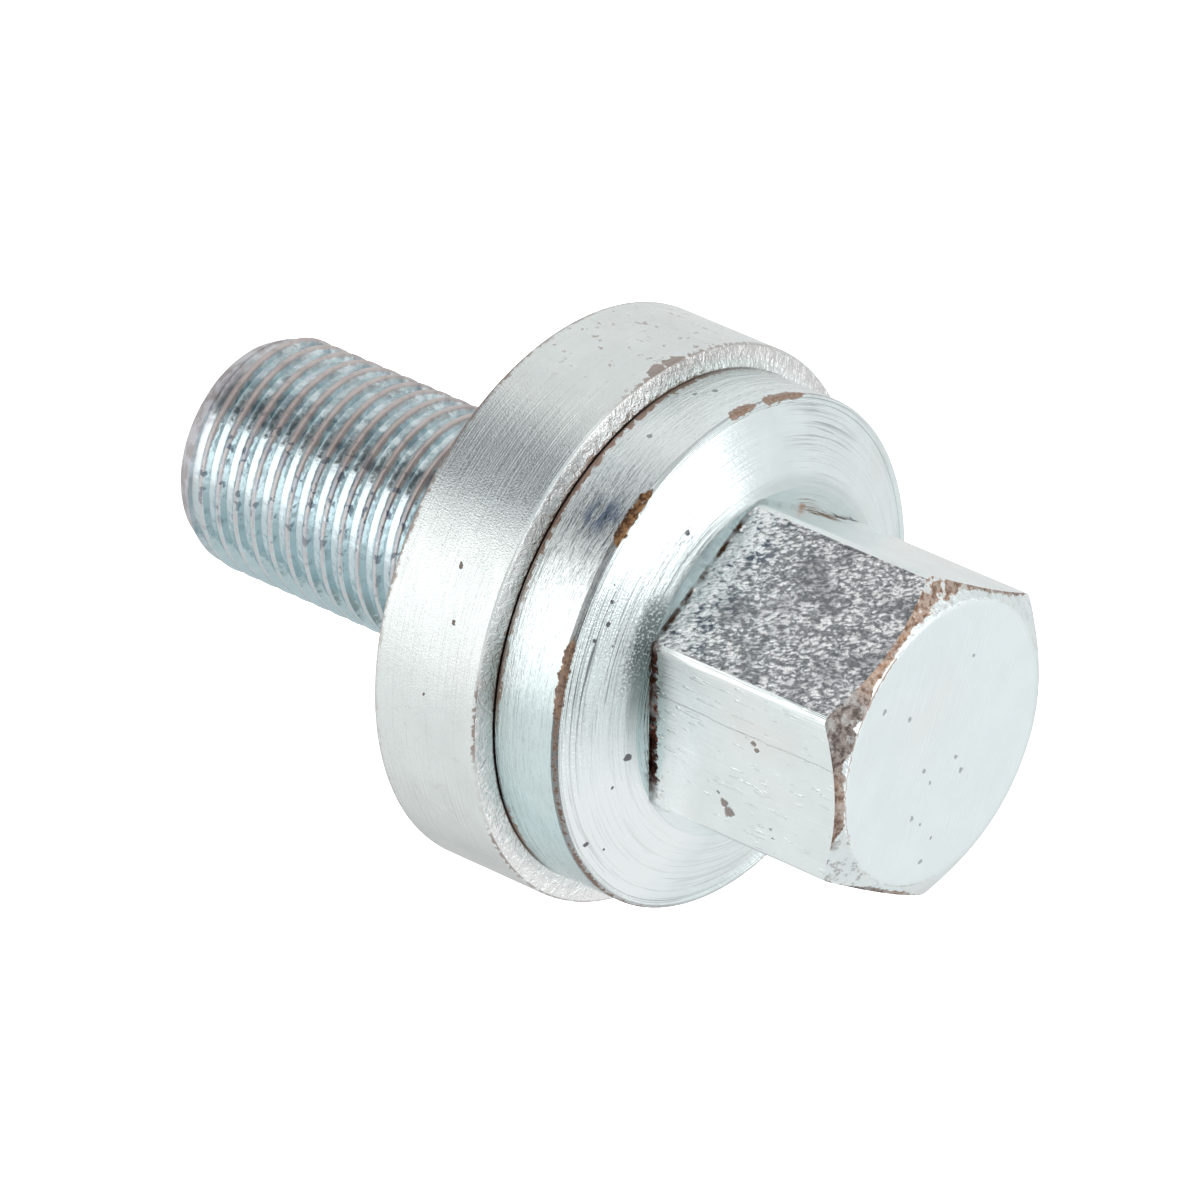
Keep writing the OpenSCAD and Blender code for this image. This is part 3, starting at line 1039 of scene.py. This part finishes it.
def front_face_zinc(g):
    """Front face: smooth and pale with faint brushing, small pits and a chipped edge."""
    across, _, _ = g.polar()
    colour = mottled(g, tinted(g.zinc, (1.0, 1.0, 1.01)), 0.3, 0.035)
    ragged = g.grain(2.0, 4, 0.65)
    worn = g.round_axis(*FACE_CHIPS)
    inside = g.add(across, g.times(worn, 0.2))
    chipped = g.times(g.torn(inside, ragged, 0.7, FACE_RADIUS + 0.31, FACE_RADIUS + 0.38), worn)
    colour = g.mix(g.times(chipped, 0.8), colour, g.mix(ragged, g.rust, g.brown))
    pits = g.pits([(x, y, FRONT_Z, radius) for x, y, radius in FACE_PITS])
    colour = g.mix(g.times(pits, 0.7), colour, shaded(g.zinc, 0.35))
    brushed = g.noise(g.place((4.5, 0.12, 1), (0, 0, -6)), 1.0, 3, 0.6)
    rough = g.add(g.times(chipped, 0.2), 0.3)
    return g.finish(colour, rough, (brushed, 0.02), (g.most(pits, chipped), -0.05))


def chamfer_zinc(g):
    """Front chamfer: mottled grey brown where it is worn, pale elsewhere."""
    ragged = g.grain(1.6, 5, 0.68)
    fine = g.grain(3.0, 3, 0.6)
    broad = g.noise(g.place(turned=(20, 0, 50)), 1.1, 3, 0.6)
    outward = g.add(g.off_axis(), g.times(g.round_axis(*CHAMFER_WORN), 1.6))
    patches = g.torn(outward, ragged, 0.8, HALF_FLATS + 0.16, HALF_FLATS + 0.26)
    chips = g.where(
        g.span(broad, 0.52, 0.58),
        (-76, 0.5), (-66, 0.95), (-54, 0.9), (-47, 0.4), (-40, 0.2), (8, 0.3),
    )
    patches = g.times(patches, g.minus(1.0, chips))
    grey = g.mix(g.span(fine, 0.34, 0.66), (0.12, 0.10, 0.095), (0.36, 0.32, 0.30))
    rusty = g.mix(g.span(fine, 0.34, 0.6), (0.22, 0.13, 0.085), tinted(g.brown, (1.3, 1.34, 1.3)))
    rusty = g.mix(g.times(g.span(broad, 0.46, 0.56), 0.6), rusty, (0.48, 0.25, 0.12))
    dulled = g.round_axis((-78, 0.0), (-64, 1.0), (-36, 1.0), (-22, 0.0))
    pale = g.mix(dulled, mottled(g, g.zinc), tinted(g.zinc, (0.92, 0.91, 0.91)))
    specks = g.where(
        g.span(ragged, 0.52, 0.6),
        (-70, 0.3), (-60, 0.7), (-8, 0.5), (12, 0.9), (46, 1.0), (72, 1.0), (90, 0.3), (120, 0.0),
    )
    pale = g.mix(g.times(specks, 0.75), pale, (0.42, 0.405, 0.405))
    colour = g.mix(patches, pale, g.mix(g.round_axis(*CHAMFER_RUST), grey, rusty))
    return g.finish(colour, g.add(g.times(patches, 0.2), 0.28), (fine, 0.035), (ragged, 0.08))


FINISHES = {
    "zinc_thread": shank_zinc,
    "zinc_collar": collar_zinc,
    "zinc_shoulder": shoulder_zinc,
    "zinc_flange_wall": flange_wall_zinc,
    "zinc_coned_face": coned_zinc,
    "zinc_smooth_flat": smooth_flat_zinc,
    "zinc_scaled_flat": scaled_flat_zinc,
    "zinc_front_face": front_face_zinc,
    "worn_chamfer": chamfer_zinc,
}


def bolt_materials():
    """The bolt's materials in the order of its slots, each made once."""
    made = bpy.data.materials
    return [made.get(name) or finish(Graph(name)) for name, finish in FINISHES.items()]


# Stage

def pale_floor(colour):
    g = Graph("pale_floor")
    g.shader.inputs["Metallic"].default_value = 0.0
    g.shader.inputs["Specular IOR Level"].default_value = 0.1
    g.shader.inputs["Emission Color"].default_value = (1, 1, 1, 1)
    g.shader.inputs["Emission Strength"].default_value = 0.95
    return g.finish(g.mix(g.grain(0.02, 1.0), colour, shaded(colour, 0.985)), 0.8)


def light_studio(scene):
    """Even light from all round, with soft lights and dark cards that the steel mirrors."""
    world = bpy.data.worlds.new("studio")
    scene.world = world
    world.use_nodes = True
    world.node_tree.nodes.clear()
    sky = Nodes(world.node_tree)
    where = sky.node("ShaderNodeTexCoord").outputs["Generated"]

    def glow(azimuth, elevation, inner, outer):
        toward = sky.vector("DOT_PRODUCT", where, direction(azimuth, elevation))
        return sky.span(toward, math.cos(math.radians(outer)), math.cos(math.radians(inner)))

    strength = EVEN_LIGHT
    for *shape, power in SOFT_LIGHTS:
        strength = sky.add(strength, sky.times(glow(*shape), power))
    for *shape, share in DARK_CARDS:
        strength = sky.times(strength, sky.minus(1.0, sky.times(glow(*shape), share)))
    lit = sky.node("ShaderNodeBackground", (1.0, 1.0, 1.0), strength)
    plain = sky.node("ShaderNodeBackground", BACKDROP)
    seen = sky.node("ShaderNodeLightPath").outputs["Is Camera Ray"]
    either = sky.node("ShaderNodeMixShader", seen, lit.outputs[0], plain.outputs[0])
    sky.node("ShaderNodeOutputWorld", either.outputs[0])


def place_camera(scene):
    """The photo's viewpoint: 34 degrees above the floor, rolled so that the bolt lies across the picture."""
    data = bpy.data.cameras.new("photo_camera")
    data.sensor_width = 36
    data.lens = CAMERA_LENS
    data.clip_start, data.clip_end = 0.05, 20
    camera = bpy.data.objects.new("photo_camera", data)
    scene.collection.objects.link(camera)
    back = Vector(direction(CAMERA_AZIMUTH, CAMERA_ELEVATION))
    forward = -back
    up = Vector((0, 0, 1))
    up = (up - up.dot(forward) * forward).normalized()
    right = forward.cross(up)
    roll = math.radians(CAMERA_ROLL)
    up = math.cos(roll) * up + math.sin(roll) * right
    right = forward.cross(up)
    place = Matrix((right, up, back)).transposed().to_4x4()
    place.translation = Vector(CAMERA_AIM) * MM + back * CAMERA_DISTANCE * MM
    camera.matrix_world = place
    scene.camera = camera


# Operators

class PULLEYBOLT_OT_bolt(bpy.types.Operator):
    """Add the bolt as one closed piece: blank, hexagon and thread."""

    bl_idname = "pulley_bolt.bolt"
    bl_label = "Add Bolt"

    def execute(self, context):
        sizes = context.scene.pulley_bolt_sizes
        bolt = turned_blank(sizes)
        combine(bolt, drafted_hexagon(sizes), "UNION")
        combine(bolt, cut_thread(sizes), "UNION")
        bolt.name = bolt.data.name = "zinc_pulley_bolt"
        deselect()
        bolt.select_set(True)
        context.view_layer.objects.active = bolt
        forge_scales(bolt)
        bpy.ops.object.shade_smooth_by_angle(angle=math.radians(22))
        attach(bolt, "root")
        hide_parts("bolt")
        return {"FINISHED"}


class PULLEYBOLT_OT_stage(bpy.types.Operator):
    """Add the floor, the soft studio light and the camera."""

    bl_idname = "pulley_bolt.stage"
    bl_label = "Add Stage"

    def execute(self, context):
        deselect()
        bpy.ops.mesh.primitive_circle_add(vertices=96, radius=4.0, fill_type="NGON")
        floor = context.object
        floor.name = floor.data.name = "studio_floor"
        floor.data.materials.append(pale_floor(context.scene.pulley_bolt_colours.floor))
        floor.visible_glossy = False
        light_studio(context.scene)
        place_camera(context.scene)
        context.scene.view_settings.view_transform = "Standard"
        return {"FINISHED"}


class PULLEYBOLT_PT_panel(bpy.types.Panel):
    """Sizes, colours and steps of the pulley bolt."""

    bl_idname = "PULLEYBOLT_PT_panel"
    bl_label = "Pulley Bolt"
    bl_space_type = "VIEW_3D"
    bl_region_type = "UI"
    bl_category = "Pulley Bolt"

    def draw(self, context):
        layout = self.layout
        for group in (context.scene.pulley_bolt_sizes, context.scene.pulley_bolt_colours):
            column = layout.column()
            for name in type(group).__annotations__:
                column.prop(group, name)
        layout.operator(PULLEYBOLT_OT_stage.bl_idname)
        layout.operator(PULLEYBOLT_OT_bolt.bl_idname)


CLASSES = (
    PulleyBoltSizes,
    PulleyBoltColours,
    PULLEYBOLT_OT_bolt,
    PULLEYBOLT_OT_stage,
    PULLEYBOLT_PT_panel,
)


def register():
    for cls in CLASSES:
        bpy.utils.register_class(cls)
    bpy.types.Scene.pulley_bolt_sizes = PointerProperty(type=PulleyBoltSizes)
    bpy.types.Scene.pulley_bolt_colours = PointerProperty(type=PulleyBoltColours)


def unregister():
    del bpy.types.Scene.pulley_bolt_colours
    del bpy.types.Scene.pulley_bolt_sizes
    for cls in reversed(CLASSES):
        bpy.utils.unregister_class(cls)


def main():
    register()
    bpy.ops.pulley_bolt.stage()
    bpy.ops.pulley_bolt.bolt()


if __name__ == "__main__":
    main()
